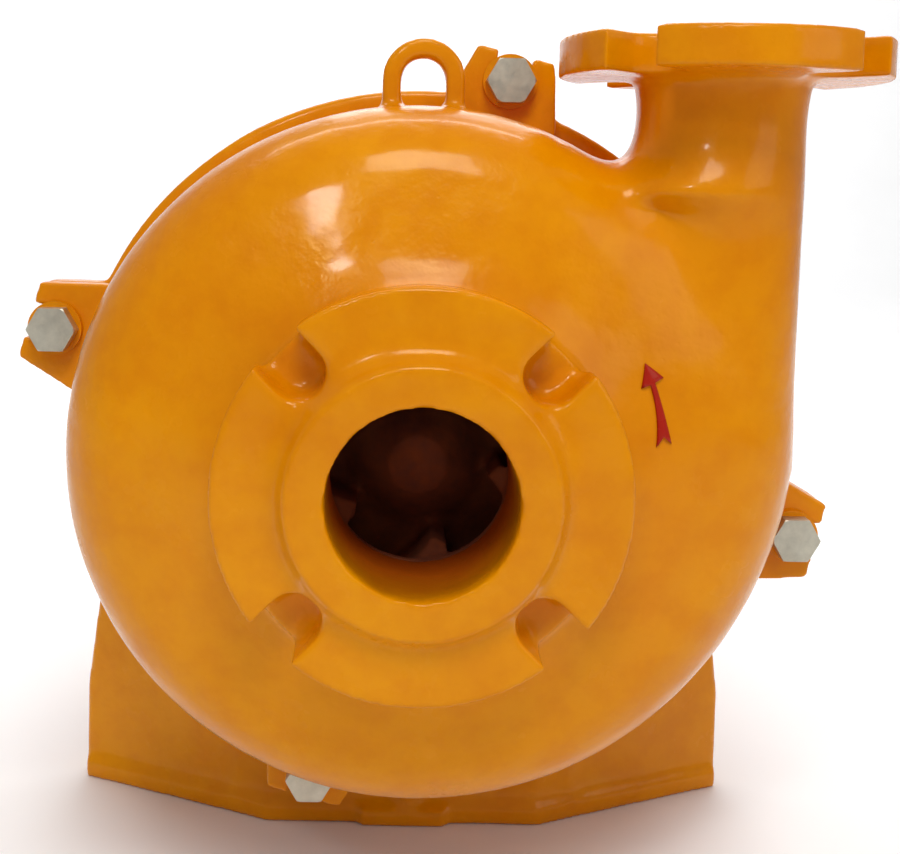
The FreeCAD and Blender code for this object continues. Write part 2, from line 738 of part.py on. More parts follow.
def shaft():
    body = new_body("shaft")
    turn_about_shaft(body, [
        (88.0, 0.0), (88.0, D.thread_r), (D.impeller_back_y + 1.2, D.thread_r),
        (D.impeller_back_y + 1.2, D.sleeve_seat_r), (D.sleeve_end_y, D.sleeve_seat_r), (D.sleeve_end_y, 28.0),
        (336.0, 28.0), (336.0, D.bearing_bore_r), (408.0, D.bearing_bore_r), (412.0, D.shaft_mid_r),
        (538.0, D.shaft_mid_r), (542.0, D.bearing_bore_r), (572.0, D.bearing_bore_r), (572.0, 29.0),
        (598.0, 29.0), (598.0, 27.0), (642.0, 27.0), (642.0, D.drive_r), (D.shaft_end_y - 2.0, D.drive_r),
        (D.shaft_end_y, D.drive_r - 2.0), (D.shaft_end_y, 0.0)])
    keyway = plan_sketch(body, D.drive_r - 5.0)
    key_y = D.shaft_end_y - 8.0 - D.key_l
    draw_rectangle(keyway, -D.key_w / 2, D.key_w / 2, key_y, key_y + D.key_l)
    pocket(body, keyway, 10.0)
    return body


def shaft_key():
    body = new_body("shaft_key")
    key = plan_sketch(body, D.drive_r - 5.0)
    key_y = D.shaft_end_y - 8.0 - D.key_l
    draw_rectangle(key, -D.key_w / 2, D.key_w / 2, key_y, key_y + D.key_l)
    pad(body, key, 8.0)
    return body


def rotor_rings():
    start = D.impeller_back_y + 1.2
    ring("impeller_o_ring", start, start + 2.0, D.sleeve_seat_r, D.sleeve_seat_r + 3.5)
    ring("shaft_sleeve", start + 2.0, D.sleeve_end_y, D.sleeve_seat_r, D.sleeve_r)
    turned("water_flinger", [(300.0, 28.0), (300.0, 34.0), (304.0, 47.0), (307.0, 47.0), (308.0, 34.0), (308.0, 28.0)])
    ring("grease_retainer", 366.0, 378.0, D.bearing_bore_r, 36.0)
    ring("lock_washer", 572.2, 574.0, 29.0, 38.0)
    labyrinth("pump_end_labyrinth", 338.0, 366.0, D.bearing_bore_r)
    labyrinth("drive_end_labyrinth", 601.0, 630.0, sized(27.0))


def labyrinth(label, y_low, y_high, r_in):
    """Rotating seal ring with three grooves on its outside."""
    top = 44.0
    steps = [(y_low, r_in), (y_low, top)]
    pitch = (y_high - y_low) / 7.0
    for i in range(3):
        groove_y = y_low + pitch * (2 * i + 1)
        steps += [(groove_y, top), (groove_y, top - 4.0), (groove_y + pitch, top - 4.0), (groove_y + pitch, top)]
    return turned(label, steps + [(y_high, top), (y_high, r_in)])


def bearing_locknut():
    body = turned("bearing_locknut", [(574.0, 29.0), (574.0, 40.0), (588.0, 40.0), (588.0, 29.0)])
    notch = front_sketch(body, 573.0)
    draw_rectangle(notch, -3.5, 3.5, 36.0, 45.0)
    cut = pocket(body, notch, 20.0)
    repeat(body, cut, 4)
    return body


# ---------------------------------------------------------------- shaft seal

def stuffing_box():
    body = new_body("stuffing_box")
    nose_y = D.liner_back_y + 0.3
    flange_y = plate_back() + 0.1
    turn_about_shaft(body, [
        (nose_y, D.sleeve_r + 2.0), (nose_y, D.plate_hub_r - 0.3), (flange_y, D.plate_hub_r - 0.3),
        (flange_y, D.box_flange_r), (flange_y + 8.0, D.box_flange_r), (flange_y + 8.0, D.box_out_r + 2.5),
        (flange_y + 10.5, D.box_out_r), (D.box_end_y, D.box_out_r), (D.box_end_y, D.box_in_r),
        (168.0, D.box_in_r), (168.0, D.sleeve_r + 2.0)])
    drill(body, [(66.0, 0.0), (-66.0, 0.0)], 5.1, flange_y - 1.0, 12.0)
    drill(body, [polar(sized(BOX_SCREW_R), a) for a in BOX_SCREWS], 5.1, flange_y - 1.0, 12.0)
    water = plan_sketch(body, 30.0)
    draw_circle(water, (0.0, 194.0), 7.0)
    pocket(body, water, 40.0)
    return body


def packing():
    single = loose_ring("packing_ring", D.packing - 0.4, D.sleeve_r + 0.05, D.box_in_r - 0.05)
    group("packing_rings", single, [(0.0, y, 0.0) for y in (168.2, 178.2, 200.2, 210.2)])
    turned("lantern_ring", [
        (188.1, D.sleeve_r + 0.3), (188.1, D.box_in_r - 0.1), (191.0, D.box_in_r - 0.1), (191.0, 38.0),
        (197.0, 38.0), (197.0, D.box_in_r - 0.1), (199.9, D.box_in_r - 0.1), (199.9, D.sleeve_r + 0.3)])


def gland_half(label, side):
    """Half of the split gland: nose in the packing space, flange with an ear for a stud."""
    body = new_body(label)
    flange_y = D.box_end_y + 6.0
    flange = front_sketch(body, flange_y)
    gap = 0.2
    draw(flange, [
        (side * gap, -D.box_out_r), (side * 30.0, -D.box_out_r), (side * 80.0, -14.0), (side * 80.0, 14.0),
        (side * 30.0, D.box_out_r), (side * gap, D.box_out_r)])
    pad(body, flange, 14.0)
    nose = front_sketch(body, 221.0)
    top = D.box_in_r - 0.4
    draw(nose, [(side * gap, -top), ((side * gap, top), (side * gap, 0.0), side < 0)])
    pad(body, nose, flange_y + 14.0 - 221.0)
    bore = front_sketch(body, 220.0)
    draw_circle(bore, (0.0, 0.0), D.sleeve_r + 0.5)
    pocket(body, bore, 60.0)
    drill(body, [(side * 66.0, 0.0)], 5.3, flange_y - 1.0, 16.0)
    return body


def gland_fasteners():
    gland_stud = rod("gland_stud", sized(5.0), 118.0)
    group("gland_studs", gland_stud, [(66.0, 178.0, 0.0), (-66.0, 178.0, 0.0)])
    gland_nut = hex_nut("gland_nut", sized(5.2), sized(17.0), sized(8.0))
    group("gland_nuts", gland_nut, [(66.0, D.box_end_y + 20.0, 0.0), (-66.0, D.box_end_y + 20.0, 0.0)])
    screw = hex_bolt("box_screw", sized(5.0), sized(17.0), sized(7.0), sized(20.0))
    # these two point back towards the suction
    head_y = plate_back() + 8.1 + 7.0
    group("stuffing_box_screws", screw, at_polar(BOX_SCREW_R, BOX_SCREWS, head_y), (0, 0, 1))


def upright(label, steps, x, y):
    """Turned piece that stands on its own vertical axis; steps are (r, z)."""
    body = new_body(label)
    sketch = new_sketch(body, "XZ_Plane")
    draw(sketch, steps)
    feature = body.newObject("PartDesign::Revolution", label + "_turned")
    feature.Profile = sketch
    feature.ReferenceAxis = (sketch, ["V_Axis"])
    feature.Angle = 360
    body.Placement = FreeCAD.Placement(FreeCAD.Vector(x, y, 0), FreeCAD.Rotation())
    return body


def gland_water_plug():
    return upright("gland_water_plug", [
        (0.0, 43.0), (6.9, 43.0), (6.9, 56.5), (8.0, 56.5), (8.0, 64.0), (6.5, 66.0), (0.0, 66.0)], 0.0, 194.0)


# ---------------------------------------------------------------- bearing cartridge

def bearing_housing():
    body = new_body("bearing_housing")
    start = D.housing_y
    stop = start + D.housing_l
    rim = D.housing_r + 6.0
    turn_about_shaft(body, [
        (start, D.race_r), (start, rim), (start + 14.0, rim), (start + 14.0, D.housing_r),
        (stop - 14.0, D.housing_r), (stop - 14.0, rim), (stop, rim), (stop, D.race_r),
        (stop - 60.0, D.race_r), (stop - 60.0, 50.0), (start + 60.0, 50.0), (start + 60.0, D.race_r)])
    for side in (-1, 1):
        for y in CLAMP_Y:
            lug = plan_sketch(body, D.lug_z)
            inside, outside = sorted((side * 60.0, side * LUG_OUT))
            draw_rectangle(lug, inside, outside, y - LUG_HALF, y + LUG_HALF)
            pad(body, lug, LUG_T)
            hole = plan_sketch(body, D.lug_z - 1.0)
            draw_rectangle(hole, side * CLAMP_X - 9.0, side * CLAMP_X + 9.0, y - 11.0, y + 11.0)
            pocket(body, hole, LUG_T + 2.0)
    screw_lug = front_sketch(body, 440.0)
    draw(screw_lug, [(-16.0, -76.0), (-16.0, SCREW_Z), ((16.0, SCREW_Z), (0.0, SCREW_Z), False), (16.0, -76.0)])
    pad(body, screw_lug, 30.0)
    drill(body, [(0.0, SCREW_Z)], 8.0, 439.0, 32.0)
    drill(body, [polar(sized(COVER_PCD), a) for a in COVER_ANGLES], 5.0, start - 1.0, 13.0)
    rear = front_sketch(body, stop - 12.0)
    for a in COVER_ANGLES:
        draw_circle(rear, polar(sized(COVER_PCD), a), 5.0)
    pocket(body, rear, 14.0)
    grease = plan_sketch(body, 45.0)
    for y in GREASE_Y:
        draw_circle(grease, (0.0, y), 4.0)
    pocket(body, grease, 40.0)
    return body


def end_cover(label, face_y, direction):
    """End cover: flange on the housing, spigot against the outer race, lip round the labyrinth."""
    spigot = 27.8 * direction
    lip = 20.0 * direction
    flange = D.cover_t * direction
    body = turned(label, [
        (face_y - flange, 44.3), (face_y - flange, D.housing_r + 4.0), (face_y, D.housing_r + 4.0),
        (face_y, D.race_r - 0.2), (face_y + spigot, D.race_r - 0.2), (face_y + spigot, 47.0),
        (face_y + lip, 47.0), (face_y + lip, 44.3)])
    low = face_y - flange if direction > 0 else face_y
    drill(body, [polar(sized(COVER_PCD), a) for a in COVER_ANGLES], 5.3, low - 1.0, D.cover_t + 2.0)
    return body


def bearing(name, y, flip):
    """Taper roller bearing: inner race, outer race, and the rollers with their two cage rings."""
    half = D.bearing_w / 2
    mid = y + half

    def at(offset):
        return mid + offset * flip

    turned(name + "_bearing_inner", [
        (at(-half), D.bearing_bore_r), (at(-half), 36.0), (at(half), 39.1), (at(half), D.bearing_bore_r)])
    turned(name + "_bearing_outer", [
        (at(-half), 44.2), (at(-half), D.race_r), (at(half), D.race_r), (at(half), 50.7)])
    shapes = []
    roller = Part.makeCone(4.2, 5.4, 20.0, FreeCAD.Vector(0, -10, 0), FreeCAD.Vector(0, 1, 0))
    roller.rotate(FreeCAD.Vector(), FreeCAD.Vector(1, 0, 0), 9.0)
    roller.translate(FreeCAD.Vector(0, 0, 42.5))
    count = 14
    for i in range(count):
        copy = roller.copy()
        copy.rotate(FreeCAD.Vector(), FreeCAD.Vector(0, 1, 0), 360.0 * i / count)
        shapes.append(copy)
    for offset, radius in ((-13.0, 40.9), (13.0, 44.6)):
        cage = Part.makeCylinder(radius + 2.2, 2.0, FreeCAD.Vector(0, offset - 1, 0), FreeCAD.Vector(0, 1, 0))
        bore = Part.makeCylinder(radius - 1.6, 2.0, FreeCAD.Vector(0, offset - 1, 0), FreeCAD.Vector(0, 1, 0))
        shapes.append(cage.cut(bore))
    whole = Part.makeCompound(shapes)
    if flip < 0:
        whole = whole.mirror(FreeCAD.Vector(), FreeCAD.Vector(0, 1, 0))
    whole.translate(FreeCAD.Vector(0, mid.value, 0))
    compound(name + "_bearing_rollers", [whole])


def cartridge():
    bearing_housing()
    stop = D.housing_y + D.housing_l
    end_cover("pump_end_cover", D.housing_y, 1)
    shims = ring("end_cover_shims", stop, stop + 0.6, D.race_r + 1.0, D.housing_r + 3.0)
    drill(shims, [polar(sized(COVER_PCD), a) for a in COVER_ANGLES], 5.3, stop - 1.0, 3.0)
    end_cover("drive_end_cover", stop + 0.6, -1)
    screw = hex_bolt("cover_screw", sized(5.0), sized(17.0), sized(6.5), D.cover_t + 10.0)
    group("pump_end_cover_screws", screw, at_polar(COVER_PCD, COVER_ANGLES, D.housing_y - D.cover_t - 6.5))
    far_y = stop + 0.6 + D.cover_t + 6.5
    group("drive_end_cover_screws", screw, at_polar(COVER_PCD, COVER_ANGLES, far_y), (0, 0, 1))
    bearing("pump", sized(BEARING_Y[0]), 1)
    bearing("drive", sized(BEARING_Y[1]), -1)
    for i, y in enumerate(GREASE_Y):
        upright("grease_nipple_%d" % (i + 1), [
            (0.0, 66.0), (3.9, 66.0), (3.9, 80.2), (6.0, 80.2), (6.0, 87.0), (3.0, 88.0), (3.5, 93.0), (2.0, 95.0),
            (0.0, 95.0)], 0.0, y)


def adjusting_screw():
    """Screw that moves the cartridge along the base, held by nuts on both sides of the rear saddle."""
    screw = hex_bolt("axial_screw", sized(8.0), sized(24.0), sized(10.0), sized(172.0))
    group("adjusting_screw", screw, [(0.0, 429.9, SCREW_Z)])
    lock = hex_nut("axial_lock_nut", sized(8.0), sized(24.0), sized(12.0))
    group("adjusting_lock_nut", lock, [(0.0, 470.0, SCREW_Z)])
    nut = hex_nut("axial_nut", sized(8.2), sized(24.0), sized(12.0))
    rear = D.saddle_rear_y + D.saddle_t
    group("adjusting_nuts", nut, [(0.0, D.saddle_rear_y - 12.0, SCREW_Z), (0.0, rear, SCREW_Z)])


def clamp_fasteners():
    bolt = hex_bolt("clamp_bolt", sized(8.0), sized(24.0), sized(10.0), sized(48.0))
    nut = hex_nut("clamp_nut", sized(8.0), sized(24.0), sized(13.0))
    washer = loose_ring("clamp_washer", sized(3.0), sized(8.3), sized(15.0))
    top = D.lug_z + LUG_T + 0.3
    spots = [(x, y) for x in (-CLAMP_X, CLAMP_X) for y in CLAMP_Y]
    upward = (1, 0, 0)
    group("clamp_bolts", bolt, [(x, y, D.rail_z - 10.0) for x, y in spots], upward, 90.0)
    group("clamp_washers", washer, [(x, y, top) for x, y in spots], upward, 90.0)
    group("clamp_nuts", nut, [(x, y, top + 3.0) for x, y in spots], upward, 90.0)


# ---------------------------------------------------------------- base

def foot_top():
    return D.floor_z + D.foot_t


def rail_top():
    return D.lug_z - 0.3


def base_frame():
    body = new_body("base_frame")
    # foot: straight nose, swept front edges, wide front, narrow waist, rear pads
    foot = plan_sketch(body, D.floor_z)
    right = [
        (D.foot_nose_w, D.foot_front_y), (D.base_w, D.foot_wing_y), (D.base_w, D.foot_wing_y + 70.0),
        (128.0, 410.0), (128.0, 560.0), (154.0, 590.0), (154.0, D.foot_end_y)]
    left = [(-x, y) for x, y in reversed(right)]
    draw(foot, right + left)
    pad(body, foot, D.foot_t)
    tongue = plan_sketch(body, D.floor_z)
    draw_rectangle(tongue, -26.0, 26.0, D.foot_front_y - 4.0, D.foot_front_y + 4.0)
    pad(body, tongue, D.foot_t - 2.0)
    # apron: three upright walls that follow the nose and the swept edges
    apron = plan_sketch(body, foot_top() - 1.0)
    wall = 13.0
    inset = 4.0
    outer = [(D.foot_nose_w - 1.0, D.foot_front_y + inset), (D.base_w, D.foot_wing_y + inset + 0.5)]
    inner = [(D.base_w, D.foot_wing_y + inset + wall + 1.5), (D.foot_nose_w - 4.0, D.foot_front_y + inset + wall)]
    half = outer + inner
    draw(apron, half + [(-x, y) for x, y in reversed(half)])
    pad(body, apron, APRON_TOP - foot_top() + 1.0)
    boss = plan_sketch(body, foot_top() - 1.0)
    draw_circle(boss, (NOSE_BOSS_X, D.foot_front_y + 7.0), NOSE_BOSS_R)
    pad(body, boss, 42.0)
    for side in (-1, 1):
        trim = front_sketch(body, D.foot_front_y - 10.0)
        corners = [(D.base_w + 1.0, D.floor_z + 52.0), (D.base_w - 8.0, -133.0), (172.0, -62.0), (150.0, APRON_TOP),
                   (150.0, APRON_TOP + 5.0), (D.base_w + 20.0, APRON_TOP + 5.0), (D.base_w + 20.0, D.floor_z + 52.0)]
        draw(trim, [(side * x, z) for x, z in corners])
        pocket(body, trim, 120.0)
    # ring that the frame plate is bolted to, and the trough under the gland
    ring_y = plate_back()
    face = front_sketch(body, ring_y)
    draw_circle(face, (0.0, 0.0), D.ring_r)
    pad(body, face, RING_T)
    trough = front_sketch(body, ring_y + RING_T - 1.0)
    draw(trough, [polar(D.trough_r, 183.4), (polar(D.trough_r, 356.6), (0.0, 0.0), False)])
    pad(body, trough, D.saddle_front_y - ring_y - RING_T + 2.0)
    # cheeks and cross walls
    cheeks_y = D.foot_front_y + 12.0
    for side in (-1, 1):
        cheek = plan_sketch(body, foot_top() - 1.0)
        near = side * (D.cheek_x - D.cheek_t)
        far = side * D.cheek_x
        first, last = (near, far) if side > 0 else (far, near)
        draw_rectangle(cheek, first, last, cheeks_y, D.foot_end_y)
        pad(body, cheek, rail_top() - foot_top() + 1.0)
    for y in (D.saddle_front_y, D.saddle_rear_y):
        cross = front_sketch(body, y)
        draw_rectangle(cross, -D.cheek_x + 2.0, D.cheek_x - 2.0, foot_top() - 1.0, rail_top())
        pad(body, cross, D.saddle_t)
    end = front_sketch(body, D.foot_end_y - 14.0)
    draw_rectangle(end, -D.cheek_x + 2.0, D.cheek_x - 2.0, foot_top() - 1.0, -150.0)
    pad(body, end, 14.0)
    for y in GUSSET_Y:
        for side in (-1, 1):
            gusset = front_sketch(body, y - GUSSET_T / 2)
            profile = [(D.cheek_x - 3.0, foot_top() - 1.0), (D.cheek_x + 30.0, foot_top() - 1.0),
                       (D.cheek_x + 30.0, foot_top() + 7.0), (D.cheek_x - 3.0, foot_top() + 92.0)]
            draw(gusset, [(side * x, z) for x, z in profile])
            pad(body, gusset, GUSSET_T)
    # rails that the housing lugs are clamped to
    for side in (-1, 1):
        rail = plan_sketch(body, D.rail_z)
        near = side * (D.cheek_x - D.cheek_t)
        far = side * LUG_OUT
        first, last = (near, far) if side > 0 else (far, near)
        draw_rectangle(rail, first, last, D.saddle_front_y - 14.0, D.saddle_rear_y + D.saddle_t + 14.0)
        pad(body, rail, rail_top() - D.rail_z)
    # openings: gland space, housing cradle, window in each cheek, floor opening
    gland_space = front_sketch(body, ring_y - 1.0)
    draw_circle(gland_space, (0.0, 0.0), D.trough_r - 12.0)
    pocket(body, gland_space, D.saddle_front_y - ring_y + 1.0)
    cradle = front_sketch(body, D.saddle_front_y - 1.0)
    draw_circle(cradle, (0.0, 0.0), D.housing_r + 0.3)
    pocket(body, cradle, 300.0)
    window = side_sketch(body, -150.0)
    low_z, high_z = D.floor_z + 60.0, -70.0
    draw(window, [
        (458.0, low_z), ((458.0, high_z), (458.0, (low_z + high_z) / 2), True), (494.0, high_z),
        ((494.0, low_z), (494.0, (low_z + high_z) / 2), True)])
    pocket(body, window, 300.0)
    slope = side_sketch(body, -150.0)
    draw(slope, [(596.0, 0.0), (596.0, rail_top() - 14.0), (D.foot_end_y + 2.0, -150.0), (660.0, -150.0), (660.0, 0.0)])
    pocket(body, slope, 300.0)
    floor_gap = plan_sketch(body, D.floor_z - 1.0)
    draw_rectangle(floor_gap, -84.0, 84.0, 262.0, 366.0)
    draw_rectangle(floor_gap, -84.0, 84.0, 402.0, 550.0)
    pocket(body, floor_gap, D.foot_t + 2.0)
    holds = plan_sketch(body, D.floor_z - 1.0)
    for x, y in HOLD_DOWN:
        slot(holds, x, y, 6.0, D.hold_r)
    pocket(body, holds, D.foot_t + 2.0)
    drill(body, [polar(sized(STUD_R), a) for a in DIAGONALS], D.bolt_r + 0.3, ring_y - 1.0, RING_T + 2.0)
    drill(body, [(0.0, SCREW_Z)], 8.6, D.saddle_rear_y - 1.0, D.saddle_t + 2.0)
    clamps = plan_sketch(body, D.rail_z - 1.0)
    for x in (-CLAMP_X, CLAMP_X):
        for y in CLAMP_Y:
            draw_circle(clamps, (x, y), 8.5)
    pocket(body, clamps, 18.0)
    return body


volute_casing()
frame_plate()
casing_gasket()
back_liner()
casing_fasteners()
impeller()
shaft()
shaft_key()
rotor_rings()
bearing_locknut()
stuffing_box()
packing()
gland_half("gland_half_right", 1)
gland_half("gland_half_left", -1)
gland_fasteners()
gland_water_plug()
cartridge()
adjusting_screw()
base_frame()
clamp_fasteners()


def finish():
    DOC.recompute()
    for item in DOC.Objects:
        if "Invalid" in item.State or "Error" in item.State:
            raise ValueError(item.Label + " failed")
    os.makedirs("parts", exist_ok=True)
    for node in NODES:
        shape = node.Shape
        if shape.isNull() or not shape.isValid():
            raise ValueError(node.Label + " has no valid shape")
        shape.exportStep("parts/" + node.Label + ".step")
        print(node.Label, len(shape.Solids), round(shape.Volume / 1000), "cm3")


finish()
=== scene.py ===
import json
import math
import bmesh
import bpy
import numpy as np
from mathutils import Matrix, Vector, noise
from mathutils.bvhtree import BVHTree


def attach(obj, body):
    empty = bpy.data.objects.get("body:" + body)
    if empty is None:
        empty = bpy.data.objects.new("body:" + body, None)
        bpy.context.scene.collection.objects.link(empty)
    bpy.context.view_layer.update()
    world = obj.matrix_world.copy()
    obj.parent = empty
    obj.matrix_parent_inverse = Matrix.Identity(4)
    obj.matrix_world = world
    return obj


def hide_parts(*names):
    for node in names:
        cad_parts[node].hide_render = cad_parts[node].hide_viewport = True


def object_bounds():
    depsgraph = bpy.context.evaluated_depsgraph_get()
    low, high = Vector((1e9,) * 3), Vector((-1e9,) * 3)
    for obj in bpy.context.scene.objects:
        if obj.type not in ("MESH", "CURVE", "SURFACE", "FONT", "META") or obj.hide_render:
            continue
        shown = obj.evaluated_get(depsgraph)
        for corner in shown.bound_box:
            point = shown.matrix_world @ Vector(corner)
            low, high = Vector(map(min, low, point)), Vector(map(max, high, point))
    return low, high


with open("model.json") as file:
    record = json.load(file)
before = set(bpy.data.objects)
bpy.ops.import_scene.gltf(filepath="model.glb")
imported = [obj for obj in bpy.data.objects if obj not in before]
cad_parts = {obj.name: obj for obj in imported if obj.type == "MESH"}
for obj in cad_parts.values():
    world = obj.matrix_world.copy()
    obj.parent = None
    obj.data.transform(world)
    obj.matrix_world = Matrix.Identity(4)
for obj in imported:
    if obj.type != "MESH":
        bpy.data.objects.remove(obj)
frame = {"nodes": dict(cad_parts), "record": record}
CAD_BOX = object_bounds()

NODES = frame["nodes"]
RECORD = frame["record"]
BODY_OF = {n: b for b, members in RECORD["behaviour"]["bodies"].items() for n in members}
SLOT_OF = {s["node"]: s["material_slot"] for s in RECORD["subparts"]}
MM = 0.001


# ---------------------------------------------------------------- camera

CAMERA_PLACE = Vector((-17.96, -539.8, 133.5)) * MM
YAW, PITCH, ROLL = 0.0121, 0.0872, 0.0229
LENS_MM = 52.784
SHIFT = (0.0556, -0.1411)


def make_camera():
    forward = Vector((math.sin(YAW) * math.cos(PITCH), math.cos(YAW) * math.cos(PITCH), -math.sin(PITCH)))
    level = Vector((math.cos(YAW), -math.sin(YAW), 0.0))
    upright = level.cross(forward)
    right = math.cos(ROLL) * level + math.sin(ROLL) * upright
    up = -math.sin(ROLL) * level + math.cos(ROLL) * upright
    data = bpy.data.cameras.new("camera")
    data.sensor_width = 36.0
    data.lens = LENS_MM
    data.shift_x, data.shift_y = SHIFT
    data.clip_start = 0.01
    camera = bpy.data.objects.new("camera", data)
    bpy.context.scene.collection.objects.link(camera)
    turn = Matrix((right, up, -forward)).transposed().to_4x4()
    camera.matrix_world = Matrix.Translation(CAMERA_PLACE) @ turn
    bpy.context.scene.camera = camera


make_camera()
bpy.context.scene.view_settings.view_transform = "Standard"


# ---------------------------------------------------------------- materials

class Shader:
    """A node material with short calls for the nodes it uses."""

    def __init__(self, name):
        self.material = bpy.data.materials.new(name)
        self.material.use_nodes = True
        self.tree = self.material.node_tree
        self.bsdf = self.tree.nodes["Principled BSDF"]
        self.place = self.add("ShaderNodeTexCoord").outputs["Object"]
        self.height = None

    def add(self, kind, **facts):
        node = self.tree.nodes.new(kind)
        for key, value in facts.items():
            if key in node.inputs:
                node.inputs[key].default_value = value
            else:
                setattr(node, key, value)
        return node

    def link(self, source, target):
        self.tree.links.new(source, target)

    def fixed(self, **values):
        for key, value in values.items():
            self.bsdf.inputs[key.replace("_", " ")].default_value = value

    def noise(self, scale, detail=2.0, rough=0.5, distort=0.0, stretch=None):
        source = self.place
        if stretch is not None:
            mapping = self.add("ShaderNodeMapping")
            mapping.inputs["Scale"].default_value = stretch
            self.link(self.place, mapping.inputs["Vector"])
            source = mapping.outputs["Vector"]
        node = self.add("ShaderNodeTexNoise", Scale=scale, Detail=detail, Roughness=rough, Distortion=distort)
        self.link(source, node.inputs["Vector"])
        return node.outputs["Fac"]

    def ramp(self, source, stops):
        node = self.add("ShaderNodeValToRGB")
        ramp = node.color_ramp
        for i, (position, colour) in enumerate(stops):
            spot = ramp.elements[i] if i < 2 else ramp.elements.new(position)
            spot.position = position
            spot.color = (*colour, 1.0) if len(colour) == 3 else colour
        self.link(source, node.inputs["Fac"])
        return node.outputs["Color"]

    def span(self, source, low, high, to_low, to_high):
        node = self.add("ShaderNodeMapRange")
        for key, value in (("From Min", low), ("From Max", high), ("To Min", to_low), ("To Max", to_high)):
            node.inputs[key].default_value = value
        self.link(source, node.inputs["Value"])
        return node.outputs["Result"]

    def mix(self, factor, first, second, blend="MIX"):
        node = self.add("ShaderNodeMix", data_type="RGBA", blend_type=blend)
        for value, socket in ((factor, node.inputs[0]), (first, node.inputs[6]), (second, node.inputs[7])):
            if isinstance(value, (int, float)):
                socket.default_value = value
            elif isinstance(value, tuple):
                socket.default_value = (*value, 1.0)
            else:
                self.link(value, socket)
        return node.outputs[2]

    def math(self, operation, first, second=None):
        node = self.add("ShaderNodeMath", operation=operation)
        for index, value in enumerate((first, second)):
            if isinstance(value, (int, float)):
                node.inputs[index].default_value = value
            elif value is not None:
                self.link(value, node.inputs[index])
        return node.outputs[0]

    def bump(self, source, strength, distance_mm):
        node = self.add("ShaderNodeBump", Strength=strength, Distance=distance_mm * MM)
        self.link(source, node.inputs["Height"])
        if self.height is not None:
            self.link(self.height, node.inputs["Normal"])
        self.height = node.outputs["Normal"]

    def done(self):
        if self.height is not None:
            self.link(self.height, self.bsdf.inputs["Normal"])
        return self.material


def bare_and_shaded_bore(s):
    """1 on the unpainted wall of the suction bore and behind it, 0 on painted skin, with a ragged edge between; it
    rises with depth into the bore and drives both the bare iron colour and the painted shade deeper in.
    """
    split = s.add("ShaderNodeSeparateXYZ")
    s.link(s.place, split.inputs[0])
    x, y, z = split.outputs
    radius = s.math("SQRT", s.math("ADD", s.math("MULTIPLY", x, x), s.math("MULTIPLY", z, z)))
    inside = s.span(radius, (BORE_R + 1.0) * MM, (BORE_R + 3.0) * MM, 1.0, 0.0)
    ragged = s.math("ADD", y, s.span(s.noise(38.0, 4.0, 0.6), 0.3, 0.7, -4.0 * MM, 4.0 * MM))
    return s.math("MULTIPLY", inside, s.span(ragged, 3.0 * MM, 52.0 * MM, 0.0, 1.0))


def enamel(name, lit, deep, rough=0.17):
    """Thick glossy enamel over a sand casting: brush waves, orange peel, pin holes, dull patches; bare iron in the
    bore, painted darker deeper in as shade.
    """
    s = Shader(name)
    patches = s.noise(7.0, 3.0, 0.55)
    fine = s.noise(60.0, 4.0, 0.6)
    base = s.ramp(patches, [(0.30, deep), (0.64, lit)])
    thin = s.ramp(fine, [(0.35, tuple(0.84 * c for c in lit)), (0.60, (1.0, 1.0, 1.0))])
    painted = s.mix(0.16, base, thin, "MULTIPLY")
    bare_and_bore_depth = bare_and_shaded_bore(s)
    # bare iron inside the bore with painted shade: the colour darkens with depth into the bore, where less light
    # reaches
    bare_iron_and_bore_shade = s.ramp(bare_and_bore_depth, [(0.0, (0.62, 0.22, 0.0)), (0.30, (0.46, 0.130, 0.001)), (0.70, (0.42, 0.085, 0.002)), (1.0, (0.36, 0.060, 0.002))])
    colour = s.mix(s.span(bare_and_bore_depth, 0.0, 0.12, 0.0, 1.0), painted, bare_iron_and_bore_shade)
    s.link(colour, s.bsdf.inputs["Base Color"])
    gloss = s.span(s.noise(26.0, 4.0, 0.6), 0.35, 0.70, rough, rough + 0.15)
    s.link(s.math("ADD", gloss, s.math("MULTIPLY", bare_and_bore_depth, 0.45)), s.bsdf.inputs["Roughness"])
    s.bump(s.noise(16.0, 2.0, 0.5), 0.75, 2.6)
    s.bump(s.noise(85.0, 3.0, 0.55), 0.75, 0.80)
    s.bump(s.noise(420.0, 2.0, 0.5), 0.35, 0.10)
    pits = s.add("ShaderNodeTexVoronoi", Scale=95.0)
    s.link(s.place, pits.inputs["Vector"])
    s.bump(s.span(pits.outputs["Distance"], 0.0, 0.10, 0.0, 1.0), 0.35, 0.30)
    s.fixed(Coat_Weight=0.20, Coat_Roughness=0.10, IOR=1.45, Specular_IOR_Level=0.22, Specular_Tint=(1.0, 0.80, 0.35, 1.0))
    return s.done()


def plated(name, colour, rough, scratch=(1.0, 1.0, 1.0)):
    """Zinc-plated steel: cloudy plate, fine scratches, a little tarnish."""
    s = Shader(name)
    cloud = s.noise(45.0, 5.0, 0.65)
    dull = tuple(0.62 * c for c in colour)
    s.link(s.ramp(cloud, [(0.32, dull), (0.66, colour)]), s.bsdf.inputs["Base Color"])
    s.link(s.span(s.noise(160.0, 4.0, 0.6), 0.3, 0.7, rough, rough + 0.2), s.bsdf.inputs["Roughness"])
    s.bump(s.noise(500.0, 3.0, 0.6, 0.0, scratch), 0.4, 0.06)
    s.bump(s.noise(110.0, 3.0, 0.6), 0.3, 0.15)
    s.fixed(Metallic=1.0)
    return s.done()


